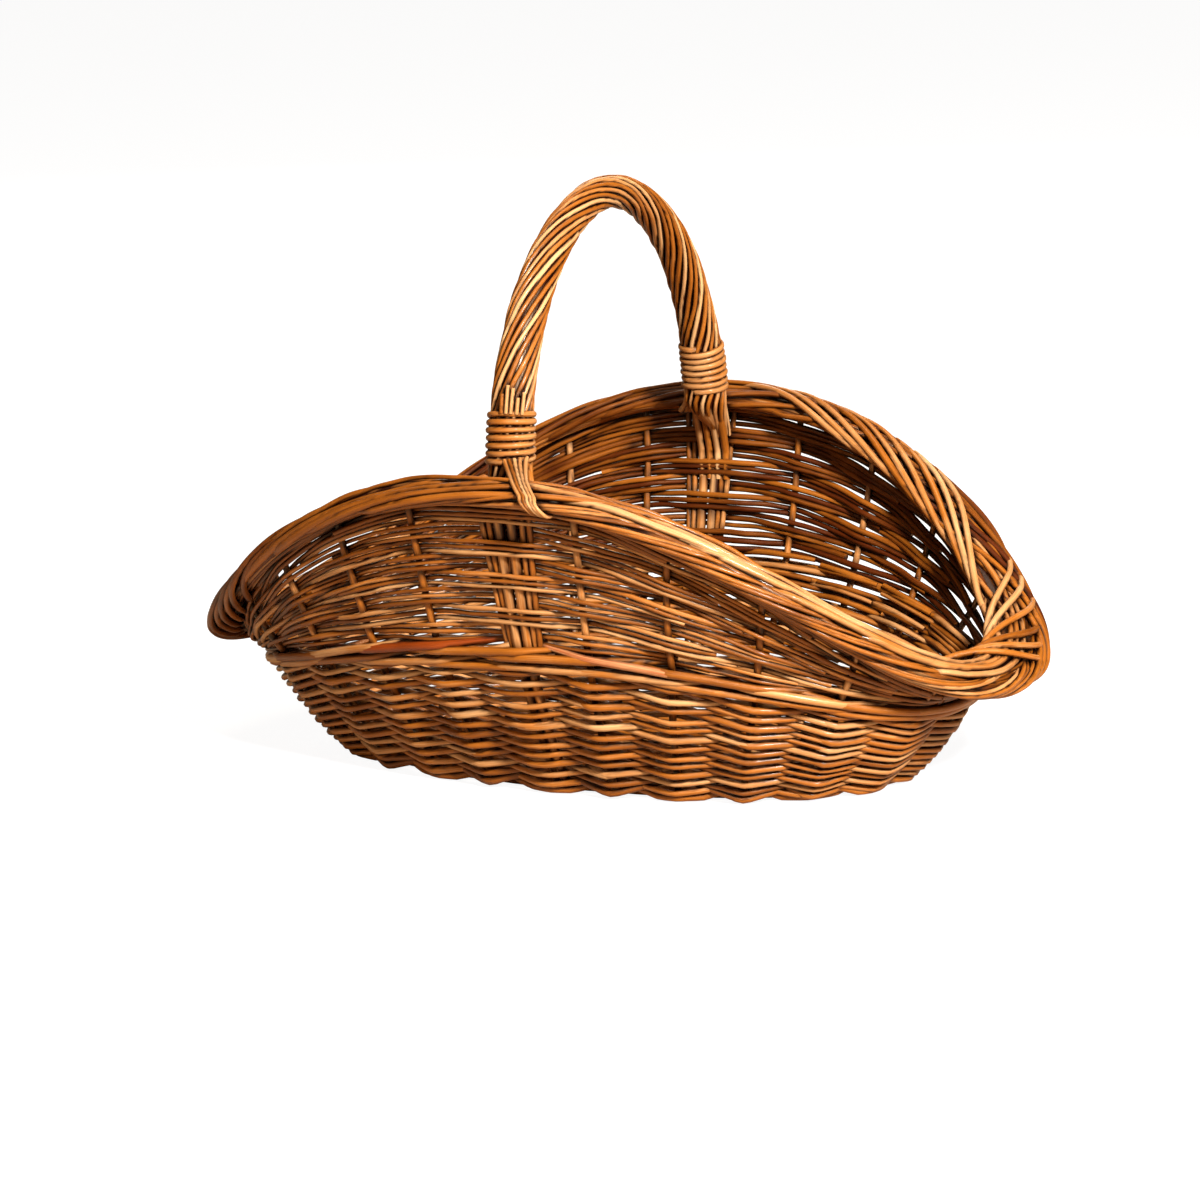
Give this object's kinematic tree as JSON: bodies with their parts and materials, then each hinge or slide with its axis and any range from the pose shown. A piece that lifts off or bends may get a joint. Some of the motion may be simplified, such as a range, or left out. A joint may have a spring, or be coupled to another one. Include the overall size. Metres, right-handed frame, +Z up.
{
  "type": "wicker harvest basket",
  "caption": "Open oval woven-willow basket for garden harvest, low at both ends and high at the sides, with a rolled border and a fixed roped bow handle across the middle.",
  "frame": {"origin": "on the ground under the middle of the base", "axes": "X along the length from low end to low end, Y across, under the handle, Z up"},
  "size_m": [0.4492, 0.299, 0.2996],
  "materials": {
    "weave_willow": "smoked brown willow rods with a soft varnish sheen",
    "base_willow": "dark brown willow rods, satin",
    "wale_willow": "reddish brown thick willow rods, satin",
    "stake_willow": "tan brown willow rods, satin",
    "handle_willow": "golden tan willow rods with a glossy varnish"
  },
  "bodies": {
    "root": {"base_long_stick_1": "stake_willow", "base_long_stick_2": "stake_willow", "base_long_stick_3": "stake_willow", "base_short_stick_1": "stake_willow", "base_short_stick_2": "stake_willow", "base_short_stick_3": "stake_willow", "base_short_stick_4": "stake_willow", "base_short_stick_5": "stake_willow", "base_weave": "base_willow", "upsett_wale": "weave_willow", "lower_weave": "weave_willow", "waist_wale": "wale_willow", "upper_weave": "weave_willow", "border": "weave_willow", "stake_01": "stake_willow", "stake_02": "stake_willow", "stake_03": "stake_willow", "stake_04": "stake_willow", "stake_05": "stake_willow", "stake_06": "stake_willow", "stake_07": "stake_willow", "stake_08": "stake_willow", "stake_09": "stake_willow", "stake_10": "stake_willow", "stake_11": "stake_willow", "stake_12": "stake_willow", "stake_13": "stake_willow", "stake_14": "stake_willow", "stake_15": "stake_willow", "stake_16": "stake_willow", "stake_17": "stake_willow", "stake_18": "stake_willow", "stake_19": "stake_willow", "stake_20": "stake_willow", "stake_21": "stake_willow", "stake_22": "stake_willow", "handle_bow": "stake_willow", "handle_roping": "handle_willow", "handle_binding_front": "handle_willow", "handle_liner_front_1": "stake_willow", "handle_tail_front_1": "handle_willow", "handle_liner_front_2": "stake_willow", "handle_tail_front_2": "handle_willow", "handle_liner_front_3": "stake_willow", "handle_tail_front_3": "handle_willow", "handle_liner_front_4": "stake_willow", "handle_tail_front_4": "handle_willow", "handle_binding_back": "handle_willow", "handle_liner_back_1": "stake_willow", "handle_tail_back_1": "handle_willow", "handle_liner_back_2": "stake_willow", "handle_tail_back_2": "handle_willow", "handle_liner_back_3": "stake_willow", "handle_tail_back_3": "handle_willow", "handle_liner_back_4": "stake_willow", "handle_tail_back_4": "handle_willow"}
  },
  "joints": []
}
